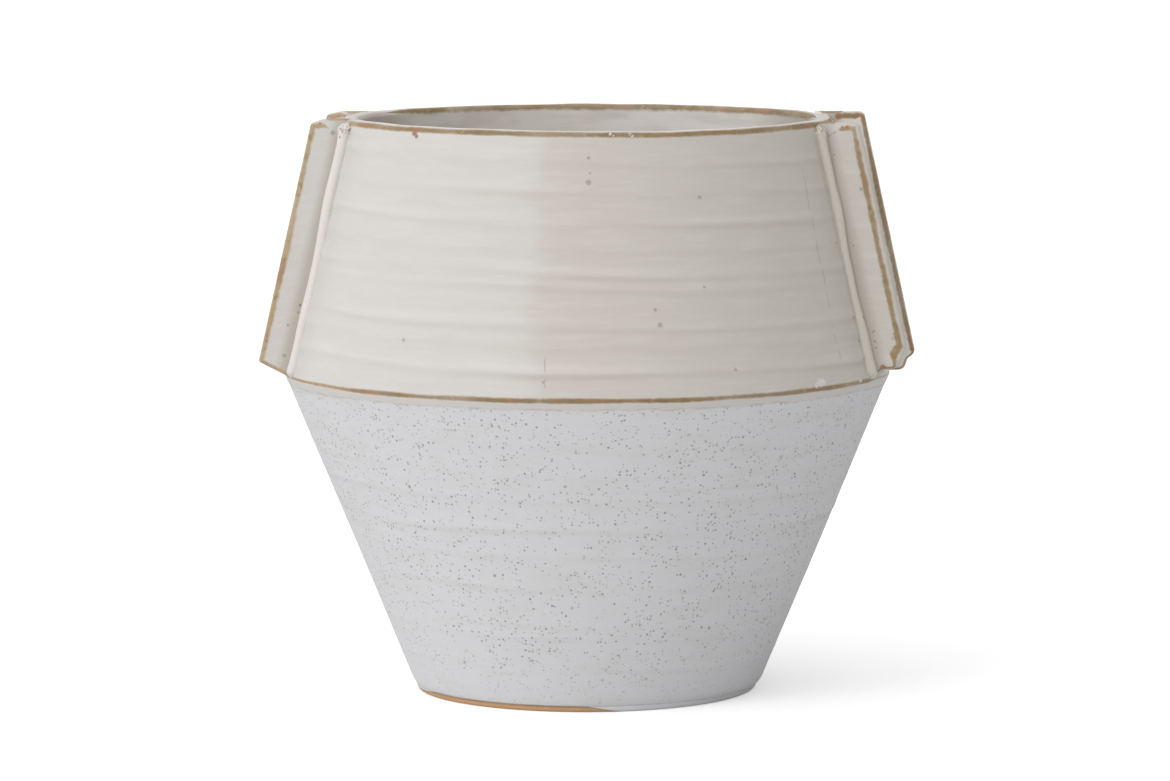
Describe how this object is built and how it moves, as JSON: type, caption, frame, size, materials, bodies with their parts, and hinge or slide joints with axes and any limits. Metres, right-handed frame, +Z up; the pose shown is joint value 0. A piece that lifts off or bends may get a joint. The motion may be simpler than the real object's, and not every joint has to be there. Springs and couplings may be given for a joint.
{
  "type": "stoneware flower pot",
  "caption": "Hand-built look stoneware flower pot: speckled matt lower cone, glazed upper cone tapering to the rim, paired upright slab fins at each side.",
  "frame": {"origin": "middle of the foot, on the surface that the pot stands on", "axes": "+Z up along the pot's axis, the fins on +X and -X, and the pictured front towards -Y"},
  "size_m": [0.2246, 0.211, 0.2],
  "materials": {
    "matt_slip": "matt white with fine grey-brown speckle",
    "bare_clay": "unglazed tan stoneware",
    "satin_glaze": "satin off-white glaze, breaking brown on edges",
    "coil_glaze": "satin glaze pooled pale over the clay coils"
  },
  "bodies": {
    "root": {"base_slab": "matt_slip", "foot_ring": "bare_clay", "lower_wall": "matt_slip", "upper_wall": "satin_glaze", "fin_front_left": "satin_glaze", "fin_back_left": "satin_glaze", "fin_front_right": "satin_glaze", "fin_back_right": "satin_glaze", "coil_front_left_outer": "coil_glaze", "coil_front_left_inner": "coil_glaze", "coil_back_left_outer": "coil_glaze", "coil_back_left_inner": "coil_glaze", "coil_front_right_outer": "coil_glaze", "coil_front_right_inner": "coil_glaze", "coil_back_right_outer": "coil_glaze", "coil_back_right_inner": "coil_glaze"}
  },
  "joints": []
}
